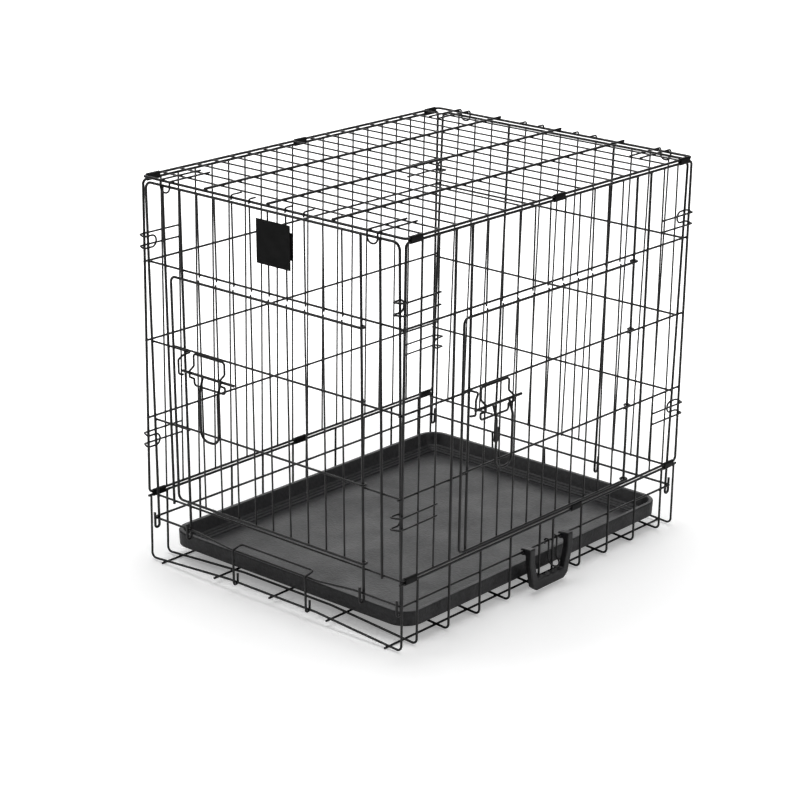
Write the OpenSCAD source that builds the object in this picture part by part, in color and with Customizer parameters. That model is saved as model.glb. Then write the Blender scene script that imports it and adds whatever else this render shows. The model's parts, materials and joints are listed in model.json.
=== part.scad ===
// Folding wire dog crate with two doors, a slide-out tray and slide bolts.
// Millimetres. X is the width, Y the length with the front door at -Y, Z is up.

/* [Crate] */
// Width over the side panels
crate_w = 460; // [420:2:520]
// Length over the corner catches
crate_l = 625; // [585:5:700]
// Height over the roof rods
crate_h = 550; // [500:5:640]
// How far the corner catches stand past the side panels
catch_reach = 11.5; // [10:0.5:16]

/* [Wire] */
// Frame wire of the panels and the roof
frame_d = 3.6; // [3.2:0.1:4.2]
// Rails across the panels and doors
rail_d = 3; // [2.6:0.1:3.4]
// Fill wires
fill_d = 2.4; // [2:0.1:2.8]
// Hoops and ring of the base
hoop_d = 3.2; // [2.8:0.1:3.6]
// Hooks, catches and small loops
hook_d = 2.6; // [2.2:0.1:3]
// Inside corner radius of the panel frames, on the wire's centre line
frame_bend = 6; // [5:0.5:8]
// Spaces between fill wires along each side
side_spaces = 19; // [19:2:19]
// Spaces between fill wires across each end
end_spaces = 14; // [14:2:14]

/* [Base] */
// Height of the rim wire that carries the side panels
rim_z = 95; // [85:1:110]
// Height of the ring wire that the end panels hang on
ring_z = 62.5; // [56:0.5:70]
// Inset of the ring's end runs from the side panels' ends
ring_inset = 6; // [5:0.5:8]
// Height of the hoops at mid width
arch_z = 13; // [11:0.5:16]
// Half width of the level middle of the hoops
arch_half = 80; // [75:1:95]
// Dip of the ring over the tray gate
ring_dip = 6.5; // [0:0.5:8]
// Spacing of the outer pair of hoops at each end
hoop_pair = 30; // [26:1:34]
// Spacing of the middle pair of hoops
hoop_mid = 29; // [26:1:34]
// Place of the middle runners, from the centre
runner_mid = 103; // [90:1:115]
// Place of the outer runners, from the centre
runner_out = 204; // [190:1:210]

/* [Doors] */
// Height of the lowest rail of an end panel
end_sill = 93.5; // [88:0.5:100]
// Drop of an end panel's top wire below the roof's
end_head_gap = 5.4; // [5:0.2:7]
// Height of the field above an end panel's top rail
end_head = 110; // [95:1:120]
// Gap between the ring's side runs and an end panel's corner wires, between centre lines
end_side_gap = 4.6; // [4.6:0.1:6]
// Lean of the end panels
lean = 1.5; // [1.2:0.1:1.8]
// How far a door laps past its jamb
door_lap = 17.5; // [15:0.5:20]
// Gap between the front door's ends and the rails by them
front_door_gap = 9.5; // [8:0.5:12]
// Gap between the side door's ends and the wires by them
side_door_gap = 6.2; // [6:0.2:9]
// Rise of a door's middle rails above the panel's
door_step = 5.5; // [5:0.5:8]

/* [Bolts] */
// Diameter of the bolt rods
bolt_d = 4; // [3.6:0.1:4.4]
// Diameter of the bolts' loop handles
grip_d = 3.5; // [3:0.1:4]
// Width of a bolt's guide loop, on the wire's centre line
guide_w = 57; // [54:1:64]
// Height of a bolt's guide loop, on the wire's centre line
guide_h = 44; // [40:1:50]
// Width of the loop handle, on the wire's centre line
grip_w = 33; // [30:1:34]
// Drop of the loop handle below its bolt
grip_drop = 88; // [70:1:95]
// Length of a bolt rod past the guide towards the jamb
bolt_nose = 16.5; // [14:0.5:18]
// Length of a bolt rod past the guide away from the jamb
bolt_tail = 21; // [15:1:30]

/* [Tray] */
// Clearance between the tray's rim and the ring on each side
tray_side_gap = 6.5; // [6:0.5:10]
// Run of the tray before its rim meets the gate
tray_run = 18; // [15:1:40]
// Height of the tray
tray_h = 26.6; // [24:0.2:32]
// Thickness of the tray's sheet
tray_t = 2.4; // [2:0.1:3]
// Corner radius of the rim
tray_r = 30; // [28:1:40]

/* [Handle] */
// Width of the carry handle over its arms
handle_w = 94; // [88:1:100]
// Depth of the carry handle below the ring
handle_drop = 57; // [50:1:58]
// Thickness of the handle
handle_t = 9; // [7:0.5:10]
// Height of the grip
handle_grip = 15; // [12:0.5:17]

/* [Plate] */
// Width of the bare plate
plate_w = 58.5; // [50:0.5:60]
// Height of the bare plate
plate_h = 59; // [50:0.5:60]
// Drop of the plate below an end panel's top wire
plate_drop = 12; // [10:1:30]
// Height of the backing strip behind it
backing_h = 36; // [30:1:50]
// Thickness of both
plate_t = 1.4; // [1:0.1:2]

/* [Hidden] */

black = "#1c1c1d";
coat = "#232324";
plastic = "#2b2b2c";

// a weld sinks one wire this far into the next where they cross
weld = 0.1;
// and this far where they lie side by side
seam = 0.03;
// running clearance round a hinge wire
play = 0.4;
// gap between pieces that slide past each other
gap = 0.3;

// centre planes of the panels
side_x = crate_w / 2 - frame_d / 2;
end_y = crate_l / 2 - catch_reach;
roof_z = crate_h - frame_d * 3 / 2 + weld;
// a hinge clip holds two wires this far apart
clip_pitch = 4.9;
side_top = roof_z - clip_pitch;
side_bot = rim_z + clip_pitch;
side_step = (side_top - side_bot) / 4;
side_pitch = 2 * end_y / side_spaces;

// inward places of the wires that lie against each other, from a panel's plane
rail_in = (frame_d + rail_d) / 2 - weld;
fill_in = rail_in - (rail_d + fill_d) / 2 + weld;

// base
leg_in = side_x;
ring_x = leg_in - hoop_d + weld;
ring_y = end_y - ring_inset;
hoop_end = end_y - 3;
runner_d = rail_d;
hoop_y = [hoop_mid / 2,
          for (i = [1:4]) hoop_mid / 2 + i * (hoop_end - hoop_pair - hoop_mid / 2) / 4,
          hoop_end];
runner_drop = (hoop_d + runner_d) / 2 - weld;
// the outer runners stand on the floor and set the height of the hoops' corners
out_z = runner_d / 2 + runner_drop;
arch_run = leg_in - arch_half;
arch_share = (leg_in - runner_out) / arch_run;
hoop_z0 = (out_z - arch_share * arch_z) / (1 - arch_share);
function hoop_z(x) = x <= arch_half ? arch_z : hoop_z0 + (arch_z - hoop_z0) * (leg_in - x) / arch_run;

// end panels, seen from outside with x to the right, y inwards and z up from the ring
hook_r = hoop_d / 2 + play + frame_d / 2;
hook_low = 13.5;
hook_tip = 9;
end_top = roof_z - end_head_gap - ring_z;
end_x = ring_x - end_side_gap;
end_pitch = 2 * end_x / end_spaces;
end_rail = [for (i = [0:3]) end_sill - ring_z + i * (end_top - end_head - end_sill + ring_z) / 3];
front_hinge = 5 * end_pitch;

// doors, from the panel's plane outwards
frame_out = frame_d + play;
door_fill_out = frame_out - (frame_d + fill_d) / 2 + weld;
rail_out = door_fill_out + (fill_d + rail_d) / 2 - weld;
bolt_out = frame_out + frame_d / 2 + play + bolt_d / 2;
nose_out = bolt_out + bolt_d / 2 + play + rail_d / 2;
grip_out = 14;
bolt_dz = 29;
guide_from_jamb = 20;
keeper_in = 7;
// a keeper takes over from its rail this far past the jamb's centre
keeper_root = 1;
side_hinge = side_pitch * 11 / 2;
// extra gap over the side door
side_door_head = 2;

// tray
tray_z = arch_z + hoop_d / 2 + gap;
tray_back = ring_y - hoop_d - runner_d - 2 * gap;
gate_r = hoop_d + play;
tray_w = 2 * (ring_x - hoop_d / 2 - tray_side_gap);
tray_l = tray_back + hoop_end - gate_r - hoop_d / 2 - tray_run;

// the widest points left and right of the crate's middle
reach_right = side_x + grip_out + grip_d / 2;
reach_left = side_x + frame_d / 2 + hook_d - weld + 0.05;
mid_x = (reach_right - reach_left) / 2;

$fn = 32;

// ---- shared shapes ----

function unit(v) = v / norm(v);

// puts a sub-part in the shared frame, whose origin is under the middle of the crate's box
module seat() translate([-mid_x, 0, 0]) children();

// straight wire from a to b
module rod(a, b, d) {
    v = b - a;
    translate(a) rotate([0, acos(v.z / norm(v)), atan2(v.y, v.x)]) cylinder(d = d, h = norm(v));
}

// length that a bend of radius r takes from each leg
function bite(a, p, b, r) =
    let (c = unit(a - p) * unit(b - p)) abs(c) > 0.99999 ? 0 : r / tan(acos(c) / 2);

// a bend's wire is this much fuller than its legs, whose ends nest inside it
swell = 0.03;
nest = 0.15;

// bend at p between legs towards a and b
module bend(a, p, b, r, d) {
    u = unit(a - p);
    v = unit(b - p);
    turn = 180 - acos(max(-1, min(1, u * v)));
    n = unit(v - (v * u) * u);
    c = p + u * bite(a, p, b, r) + n * r;
    z = cross(-n, -u);
    if (turn > 0.1)
        multmatrix([[-n.x, -u.x, z.x, c.x], [-n.y, -u.y, z.y, c.y], [-n.z, -u.z, z.z, c.z]])
            rotate_extrude(angle = turn) translate([r, 0]) circle(d = d + 2 * swell);
}

// bent wire along points, with bend radius r or one radius for each point
module wire(p, d, r, closed = false) {
    n = len(p);
    function at(i) = p[(i + n) % n];
    function rad(i) = is_list(r) ? r[(i + n) % n] : r;
    function cut(i) = !closed && (i == 0 || i == n - 1) ? 0
        : bite(at(i - 1), at(i), at(i + 1), rad(i));
    for (i = [0:closed ? n - 1 : n - 2]) {
        u = unit(at(i + 1) - at(i));
        c0 = cut(i) > 0 ? cut(i) - nest : 0;
        c1 = cut((i + 1) % n) > 0 ? cut((i + 1) % n) - nest : 0;
        rod(at(i) + u * c0, at(i + 1) - u * c1, d);
    }
    for (i = [closed ? 0 : 1:closed ? n - 1 : n - 2])
        bend(at(i - 1), at(i), at(i + 1), rad(i), d);
}

function back(p) = [for (i = [len(p) - 1:-1:0]) p[i]];

// ---- base ----

// each hoop has two bent legs and a level middle, welded where the slope starts
module hoop(y) {
    for (s = [-1, 1])
        wire([[s * leg_in, y, rim_z - frame_d / 2 + weld], [s * leg_in, y, hoop_z0],
              [s * (arch_half - 2 * nest), y, hoop_z(arch_half) + 2 * nest * (arch_z - hoop_z0) / arch_run]],
             hoop_d, 7);
    rod([-arch_half, y, arch_z], [arch_half, y, arch_z], hoop_d + 2 * swell);
}

module base_hoops() color(coat) seat()
    for (y = hoop_y, s = [-1, 1]) hoop(s * y);

module base_runners() color(coat) seat()
    for (x = [-runner_out, -runner_mid, 0, runner_mid, runner_out])
        rod([x, -hoop_end - 4.6, hoop_z(abs(x)) - runner_drop],
            [x, hoop_end + 4.6, hoop_z(abs(x)) - runner_drop], runner_d);

// tight enough to leave the end panels' corner hooks on a straight run
ring_bend = 2.7;
module base_ring() color(coat) seat()
    wire([[-ring_x, -ring_y, ring_z], [-front_hinge + 12, -ring_y, ring_z],
          [-arch_half, -ring_y, ring_z - ring_dip], [arch_half, -ring_y, ring_z - ring_dip],
          [front_hinge - 12, -ring_y, ring_z], [ring_x, -ring_y, ring_z],
          [ring_x, ring_y, ring_z], [-ring_x, ring_y, ring_z]],
         hoop_d, [ring_bend, 20, 20, 20, 20, ring_bend, ring_bend, ring_bend], closed = true);

module base_rims() color(coat) seat()
    for (s = [-1, 1])
        rod([s * side_x, -end_y - 1.5, rim_z], [s * side_x, end_y + 1.5, rim_z], frame_d);

stop_x = 100;
module tray_stops() color(coat) seat()
    for (x = [-stop_x, 0, stop_x])
        rod([x, hoop_end - (hoop_d + runner_d) / 2 + weld, hoop_z(abs(x)) - 1.5],
            [x, ring_y - (hoop_d + runner_d) / 2 + weld, ring_z + 2], runner_d);

// ---- side panels, seen from outside with x to the right and y inwards ----

module right_side() translate([side_x, 0, 0]) rotate(90) children();
module left_side() translate([-side_x, 0, 0]) rotate(-90) children();

function side_at(k) = -end_y + k * side_pitch;
rail_end = end_y + 4.5;
upright_lo = side_bot + frame_d / 2 - 0.2;
upright_hi = side_top - frame_d / 2 + 0.2;
function side_rail(i) = side_bot + i * side_step;

module side_frame()
    wire([[-end_y, 0, side_bot], [end_y, 0, side_bot], [end_y, 0, side_top], [-end_y, 0, side_top]],
         frame_d, frame_bend, closed = true);

module left_frame() color(coat) seat() left_side() side_frame();

module left_rails() color(coat) seat() left_side()
    for (i = [1:3]) rod([-rail_end, rail_in, side_rail(i)], [rail_end, rail_in, side_rail(i)], rail_d);

module left_uprights() color(coat) seat() left_side()
    for (k = [1:side_spaces - 1])
        rod([side_at(k), fill_in, upright_lo], [side_at(k), fill_in, upright_hi], fill_d);

module right_frame() color(coat) seat() right_side() side_frame();

module right_rails() color(coat) seat() right_side() {
    rod([-rail_end, rail_in, side_rail(3)], [rail_end, rail_in, side_rail(3)], rail_d);
    for (i = [1, 2]) {
        rod([-rail_end, rail_in, side_rail(i)], [-side_hinge + keeper_root, rail_in, side_rail(i)], rail_d);
        rod([side_hinge - 3, rail_in, side_rail(i)], [rail_end, rail_in, side_rail(i)], rail_d);
    }
}

module right_jambs() color(coat) seat() right_side()
    for (k = [3, 4, side_spaces - 4, side_spaces - 3])
        rod([side_at(k), 0, upright_lo], [side_at(k), 0, upright_hi], frame_d);

module right_uprights() color(coat) seat() right_side() {
    for (k = [1, 2, side_spaces - 2, side_spaces - 1])
        rod([side_at(k), fill_in, upright_lo], [side_at(k), fill_in, upright_hi], fill_d);
    for (k = [5:side_spaces - 5])
        rod([side_at(k), fill_in, side_rail(3) - 3], [side_at(k), fill_in, upright_hi], fill_d);
}

// ---- roof ----

module roof_frame() color(coat) seat()
    wire([[-side_x, -end_y, roof_z], [side_x, -end_y, roof_z], [side_x, end_y, roof_z], [-side_x, end_y, roof_z]],
         frame_d, frame_bend, closed = true);

wire_z = roof_z + (frame_d - fill_d) / 2;
module roof_wires() color(coat) seat()
    for (k = [1:side_spaces - 1])
        rod([-side_x + frame_d / 2 - 0.3, side_at(k), wire_z], [side_x - frame_d / 2 + 0.3, side_at(k), wire_z], fill_d);

roof_rod_x = 111;
rod_z = roof_z + frame_d - weld;
module roof_rods() color(coat) seat()
    for (x = [-roof_rod_x, 0, roof_rod_x])
        rod([x, -end_y - 2.5, rod_z], [x, end_y + 2.5, rod_z], frame_d);

hook_half = 8.5;
hook_x = 6 * end_pitch - hook_half - 0.5;
hook_z = roof_z + (frame_d + hook_d) / 2 - weld;
hook_out = end_y + 6.6;
hook_bot = roof_z - 13;
module roof_hook()
    wire([[-hook_half, -side_at(side_spaces - 2) - 3.5 + 7, hook_z], [-hook_half, -hook_out, hook_z],
          [-hook_half, -hook_out, hook_bot], [hook_half, -hook_out, hook_bot],
          [hook_half, -hook_out, hook_z], [hook_half, -side_at(side_spaces - 2) - 3.5 + 7, hook_z]],
         hook_d, [0, 4, hook_half - 0.5, hook_half - 0.5, 4, 0]);

module roof_hooks() color(coat) seat()
    for (t = [0, 180], s = [-1, 1]) rotate(t) translate([s * hook_x, 0, 0]) roof_hook();

curl_y = end_y + (frame_d + fill_d) / 2 - weld;
curl_z = crate_h - fill_d / 2;
module roof_curl(tail)
    wire([[0, -curl_y, roof_z - frame_d / 2 - 0.6], [0, -curl_y, curl_z], [0, -curl_y + tail, curl_z]],
         fill_d, 3.2);

module roof_curls() color(coat) seat()
    for (t = [0, 180], k = [-2, -1, 1, 2])
        rotate(t) translate([k * end_pitch, 0, 0]) roof_curl(abs(k) == 2 ? 19 : 12);

// ---- corner catches, each a hairpin that closes inside the end panel's corner wire ----

catch_z = [171, 450];
catch_h = 16;
// inner legs pass the end panel's corner wire with this gap
catch_in = end_x - (frame_d + hook_d) / 2 - 0.45;
// the nose is rounded, so its corner point lies this far past the crate's length
nose_cut = 1.27;
module catch_loop() {
    out0 = side_x + fill_d / 2 - fill_in + hook_d / 2 - weld;
    out1 = side_x + (frame_d + hook_d) / 2 - weld + 0.05;
    nose = crate_l / 2 - hook_d / 2;
    one = [[out0, side_at(2) + 2, 0], [out1, -end_y - 5, 0], [catch_in, -nose - nose_cut, 0], [catch_in, -nose + 21, 0]];
    two = back([for (q = one) q + [0, 0, catch_h]]);
    wire(concat(one, two), hook_d, [0, 4, 3, catch_h / 2 - 0.5, catch_h / 2 - 0.5, 3, 4, 0]);
}

module corner_catches() color(coat) seat()
    for (z = catch_z, mx = [0, 1], my = [0, 1])
        translate([0, 0, z]) mirror([mx, 0, 0]) mirror([0, my, 0]) catch_loop();

// ---- hinge clips, sheet wrapped round two wires ----

clip_l = 22;
clip_t = 0.9;
clip_y = end_y - 18;
module clip_profile(r) {
    circle(r = r);
    translate([0, clip_pitch]) circle(r = r);
    translate([-r, 0]) square([2 * r, clip_pitch]);
}
module hinge_clip(x, y, z)
    translate([x, y + clip_l / 2, z]) rotate([90, 0, 0]) linear_extrude(clip_l) difference() {
        clip_profile(frame_d / 2 + 0.05 + clip_t);
        clip_profile(frame_d / 2 + 0.05);
    }

module roof_clips() color(black) seat()
    for (s = [-1, 1], y = [-clip_y, 0, clip_y]) hinge_clip(s * side_x, y, side_top);

module base_clips() color(black) seat() {
    for (s = [-1, 1], y = [-clip_y, clip_y]) hinge_clip(s * side_x, y, rim_z);
    hinge_clip(-side_x, 0, rim_z);
    hinge_clip(side_x, side_at(12) - side_pitch / 2, rim_z);
}

// ---- end panels ----

module front_end() translate([0, -ring_y, ring_z]) rotate([lean, 0, 0]) children();
module rear_end() translate([0, ring_y, ring_z]) rotate(180) rotate([lean, 0, 0]) children();

module end_frame()
    wire([[-end_x, -hook_r, hook_tip], [-end_x, -hook_r, -hook_low], [-end_x, hook_r, -hook_low],
          [-end_x, hook_r, end_top], [end_x, hook_r, end_top],
          [end_x, hook_r, -hook_low], [end_x, -hook_r, -hook_low], [end_x, -hook_r, hook_tip]],
         frame_d, [0, hook_r - 0.3, hook_r - 0.3, 10, 10, hook_r - 0.3, hook_r - 0.3, 0]);

module hooked_upright(x)
    wire([[x, -hook_r, hook_tip], [x, -hook_r, -hook_low], [x, hook_r, -hook_low],
          [x, hook_r, end_top - frame_d / 2 + 0.15]],
         frame_d, hook_r - 0.3);

end_rail_half = end_x + 2;
module end_fill(x, z0)
    rod([x, hook_r + fill_in, z0], [x, hook_r + fill_in, end_top - frame_d / 2 + 0.2], fill_d);
module end_bar(x0, x1, z)
    rod([x0, hook_r + rail_in, z], [x1, hook_r + rail_in, z], rail_d);

module front_frame() color(coat) seat() front_end() end_frame();

module front_jambs() color(coat) seat() front_end()
    for (s = [-1, 1]) {
        hooked_upright(s * front_hinge);
        rod([s * (front_hinge + end_pitch), hook_r, end_rail[0] - 3],
            [s * (front_hinge + end_pitch), hook_r, end_top - frame_d / 2 + 0.15], frame_d);
    }

module front_rails() color(coat) seat() front_end() {
    for (i = [0, 3]) end_bar(-end_rail_half, end_rail_half, end_rail[i]);
    for (i = [1, 2]) {
        end_bar(-end_rail_half, -front_hinge + keeper_root, end_rail[i]);
        end_bar(front_hinge - 3, end_rail_half, end_rail[i]);
    }
}

module front_uprights() color(coat) seat() front_end()
    for (k = [-4:4]) end_fill(k * end_pitch, end_rail[3] - 3);

// the plate and its backing nip two fill wires between them
plate_x = end_pitch / 2 - 5;
plate_z = end_top - plate_drop - plate_h / 2;
backing_rise = 1;
nip = 0.01;
module front_plate() color(black) seat() front_end()
    translate([plate_x - plate_w / 2, hook_r + fill_in - fill_d / 2 - plate_t + nip, plate_z - plate_h / 2])
        cube([plate_w, plate_t, plate_h]);

module front_backing() color(black) seat() front_end()
    translate([plate_x - plate_w / 2, hook_r + fill_in + fill_d / 2 - nip, plate_z - backing_h / 2 + backing_rise])
        cube([plate_w, plate_t, backing_h]);

module rear_frame() color(coat) seat() rear_end() end_frame();

module rear_jambs() color(coat) seat() rear_end()
    for (s = [-1, 1]) hooked_upright(s * 3 * end_pitch);

module rear_rails() color(coat) seat() rear_end()
    for (z = end_rail) end_bar(-end_rail_half, end_rail_half, z);

module rear_uprights() color(coat) seat() rear_end()
    for (k = [-6:6]) if (abs(k) != 3) end_fill(k * end_pitch, end_rail[0] - 3);

// ---- doors, with the panel's plane at y = 0 and y inwards ----

module in_front() seat() front_end() translate([0, hook_r, 0]) children();
module in_side() seat() right_side() children();

// wire that wraps the hinge wire as an eye after its last point
module eye(x, z, out, d)
    translate([x, 0, z]) rotate(-90) rotate_extrude(angle = 240) translate([out, 0]) circle(d = d);

module door_frame(hinge, z0, z1) {
    x0 = -hinge - door_lap;
    wire([[hinge, -frame_out, z0], [x0, -frame_out, z0], [x0, -frame_out, z1], [hinge, -frame_out, z1]],
         frame_d, 8);
    for (z = [z0, z1]) eye(hinge, z, frame_out, frame_d);
}

module door_rails(hinge, zs)
    for (z = zs) {
        rod([-hinge - door_lap + frame_d / 2 - 0.3, -rail_out, z], [hinge, -rail_out, z], rail_d);
        eye(hinge, z, rail_out, rail_d);
    }

module door_uprights(xs, z0, z1)
    for (x = xs)
        rod([x, -door_fill_out, z0 - frame_d / 2 - 0.6], [x, -door_fill_out, z1 + frame_d / 2 + 1.2], fill_d);

// guide loop under a door's rail, with both sides bowed out round the bolt
module guide(x0, z)
    wire([for (s = [0, 1])
              let (x = x0 + s * guide_w, side = [[x, -rail_out, z], [x, -rail_out, z - bolt_dz + rail_d + 9],
                   [x, -nose_out, z - bolt_dz + rail_d + 4], [x, -nose_out, z - bolt_dz + rail_d - 4],
                   [x, -rail_out, z - bolt_dz + rail_d - 9], [x, -rail_out, z - guide_h]])
              each s == 0 ? back(side) : side],
         rail_d, [4, 2.2, 2.2, 2.2, 2.2, 4, 4, 2.2, 2.2, 2.2, 2.2, 4], closed = true);

guide_dz = rail_d - seam;
module bolt(x0, z)
    rod([x0 - bolt_nose, -bolt_out, z], [x0 + guide_w + bolt_tail, -bolt_out, z], bolt_d);

module grip(x0, z) {
    x = x0 + guide_w - (rail_d + grip_d) / 2 - play - grip_w;
    one = [[x, -bolt_out, z - bolt_d / 2 - 0.35], [x, -grip_out, z - 20], [x, -grip_out, z - grip_drop]];
    two = back([for (q = one) q + [grip_w, 0, 0]]);
    wire(concat(one, two), grip_d, [0, 8, grip_w / 2 - 3, grip_w / 2 - 3, 8, 0]);
}

// keeper that carries on from the end of a panel's short rail and hooks over the bolt
module keeper(hinge, z, zb) {
    x = -hinge;
    wire([[x + keeper_root, rail_in, z], [x + keeper_in, rail_in, z], [x + keeper_in, -bolt_out - 1.5, z],
          [x - 0.5, -nose_out, z - 8], [x - 0.5, -nose_out, zb - 4.5], [x - 0.5, -4, zb - 7.5]],
         rail_d, [0, 3, 3, 4, 3, 0]);
}

front_z0 = end_rail[0] + front_door_gap;
front_z1 = end_rail[3] - front_door_gap;
front_zr = [end_rail[1] + door_step, end_rail[2] + door_step];
front_guide_x = -front_hinge + guide_from_jamb;
front_bolt_z = front_zr[1] - bolt_dz;

module front_keeper() color(coat) in_front() keeper(front_hinge, end_rail[2], front_bolt_z);
module front_door_frame() color(coat) in_front() door_frame(front_hinge, front_z0, front_z1);
module front_door_rails() color(coat) in_front() door_rails(front_hinge, front_zr);
module front_door_uprights() color(coat) in_front()
    door_uprights([for (k = [-4:4]) k * end_pitch], front_z0, front_z1);
module front_guide() color(coat) in_front() guide(front_guide_x, front_zr[1] - guide_dz);
module front_bolt() color(coat) in_front() bolt(front_guide_x, front_bolt_z);
module front_grip() color(coat) in_front() grip(front_guide_x, front_bolt_z);

side_z0 = side_bot + side_door_gap;
side_z1 = side_rail(3) - side_door_gap - side_door_head;
side_zr = [side_rail(1) + door_step, side_rail(2) + door_step];
side_guide_x = -side_hinge + guide_from_jamb;
side_bolt_z = side_zr[1] - bolt_dz;

module side_keeper() color(coat) in_side() keeper(side_hinge, side_rail(2), side_bolt_z);
module side_door_frame() color(coat) in_side() door_frame(side_hinge, side_z0, side_z1);
module side_door_rails() color(coat) in_side() door_rails(side_hinge, side_zr);
module side_door_uprights() color(coat) in_side()
    door_uprights([for (k = [5:side_spaces - 5]) side_at(k)], side_z0, side_z1);
module side_guide() color(coat) in_side() guide(side_guide_x, side_zr[1] - guide_dz);
module side_bolt() color(coat) in_side() bolt(side_guide_x, side_bolt_z);
module side_grip() color(coat) in_side() grip(side_guide_x, side_bolt_z);

// ---- tray ----

// section of the rim, outwards from the centre of a corner: skirt, rim, wall, three steps and floor
function rim_section() =
    let (t = tray_t, h = tray_h, r = tray_r, s = 4)
    [[r - 1, 5.6], [r, h - 1.5], [r - 1, h], [r - 6, h], [r - 7.2, h - 1.2],
     [r - 12.5, 9.6], [r - 17, 9.2], [r - 17.6, 7.1], [r - 17.6 - s + 0.6, 6.8], [r - 17.6 - s, 4.9],
     [r - 17.6 - 2 * s + 0.6, 4.6], [r - 17.6 - 2 * s, t], [r - 28, t],
     [r - 28, 0], [r - 24.2, 0], [r - 23.4, 2.2], [r - 20, 2.5], [r - 19.2, 4.4], [r - 15.8, 4.8],
     [r - 15, 6.9], [r - 10.6, 7.3], [r - 5.1, h - t], [r - 2.3, h - t], [r - 3.1, 5.6]];

module tray() color(plastic) seat() {
    cx = tray_w / 2 - tray_r;
    cy = tray_l / 2 - tray_r;
    in = tray_r - 28;
    translate([0, tray_back - tray_l / 2, tray_z]) {
        for (i = [0:3])
            rotate(90 * i) {
                a = i % 2 == 0 ? cx : cy;
                b = i % 2 == 0 ? cy : cx;
                translate([a, b, 0]) rotate_extrude(angle = 90) polygon(rim_section());
                translate([a, b, 0]) rotate([90, 0, 0]) linear_extrude(2 * b) polygon(rim_section());
            }
        linear_extrude(tray_t) {
            square([2 * (cx + in), 2 * cy], center = true);
            square([2 * cx, 2 * (cy + in)], center = true);
            for (sx = [-1, 1], sy = [-1, 1]) translate([sx * cx, sy * cy]) circle(r = in);
        }
    }
}

gate_half = 66;
gate_top = ring_z - ring_dip + 8;
module tray_gate() color(coat) seat() {
    y = -hoop_end;
    side = [[-gate_half, y + gate_r, arch_z + 11], [-gate_half, y + gate_r, arch_z - gate_r],
            [-gate_half, y - gate_r, arch_z - gate_r], [-gate_half, y - gate_r - 1.5, gate_top - 3.5],
            [-gate_half, y + 11, gate_top]];
    far = back([for (q = side) [-q.x, q.y, q.z]]);
    wire(concat(side, far), hoop_d, [0, gate_r - 0.3, gate_r - 0.3, 4, 5, 5, 4, gate_r - 0.3, gate_r - 0.3, 0]);
}

// ---- carry handle and case catch, both on the ring's right run ----

handle_in = 5.9;
handle_y = handle_w / 2 - 6;
handle_mid = -2;
module carry_handle() color(plastic) seat() translate([ring_x, handle_mid, ring_z]) {
    // arms and grip
    translate([handle_in, 0, 0]) rotate([90, 0, 90]) linear_extrude(handle_t) difference() {
        polygon([[-handle_w / 2, 6], [-handle_w / 2, -16], [-handle_w / 2 + 9, -handle_drop + 6],
                 [-handle_w / 2 + 17, -handle_drop], [handle_w / 2 - 17, -handle_drop],
                 [handle_w / 2 - 9, -handle_drop + 6], [handle_w / 2, -16], [handle_w / 2, 6]]);
        polygon([[-handle_w / 2 + 11, 7], [-handle_w / 2 + 11, -14], [-handle_w / 2 + 19, -handle_drop + handle_grip],
                 [handle_w / 2 - 19, -handle_drop + handle_grip], [handle_w / 2 - 11, -14], [handle_w / 2 - 11, 7]]);
    }
    // finger bumps
    for (y = [-14, 0, 14])
        translate([handle_in + 1, y, -handle_drop + handle_grip - 1]) rotate([0, 90, 0])
            cylinder(r = 3.2, h = handle_t - 2);
    // hooks round the ring
    for (s = [-1, 1]) translate([0, s * handle_y, 0]) rotate([90, 0, 0]) linear_extrude(10, center = true)
        difference() {
            union() {
                circle(r = hoop_d / 2 + play + 3);
                translate([0, -4]) square([handle_in + 1, 9]);
            }
            circle(r = hoop_d / 2 + play);
            translate([-9, -hoop_d / 2 - play]) square([9, hoop_d + 2 * play]);
        }
}

case_y = hoop_y[0];
case_half = 9;
case_r = (hoop_d + hook_d) / 2 + play;
module case_catch() color(coat) seat() translate([ring_x, case_y, ring_z]) {
    one = [[-case_r, -case_half, -5], [-case_r, -case_half, case_r], [case_r, -case_half, case_r],
           [case_r, -case_half, -27], [case_r + 9, -case_half, -36]];
    two = back([for (q = one) [q.x, -q.y, q.z]]);
    wire(concat(one, two), hook_d, [0, case_r - 0.3, case_r - 0.3, 5, case_half - 0.3, case_half - 0.3, 5, case_r - 0.3, case_r - 0.3, 0]);
}

base_hoops();
base_runners();
base_ring();
base_rims();
tray_stops();
left_frame();
left_rails();
left_uprights();
right_frame();
right_rails();
right_jambs();
right_uprights();
side_keeper();
roof_frame();
roof_wires();
roof_rods();
roof_hooks();
roof_curls();
corner_catches();
roof_clips();
base_clips();
front_frame();
front_jambs();
front_rails();
front_uprights();
front_keeper();
front_plate();
front_backing();
front_door_frame();
front_door_rails();
front_door_uprights();
front_guide();
front_bolt();
front_grip();
side_door_frame();
side_door_rails();
side_door_uprights();
side_guide();
side_bolt();
side_grip();
rear_frame();
rear_jambs();
rear_rails();
rear_uprights();
tray();
tray_gate();
carry_handle();
case_catch();
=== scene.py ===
# %% [markdown]
# # A folding wire dog crate
# The crate is mostly wire: straight rods, bent frames, hooks and eyes, spot welded where they
# cross and then coated black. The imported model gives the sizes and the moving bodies. Here each
# wire is drawn again as a smooth round tube, with its weld beads, and the plastic gets its grain.

# %% load the frame
import json
import math
import bmesh
import bpy
from mathutils import Matrix, Vector


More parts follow.
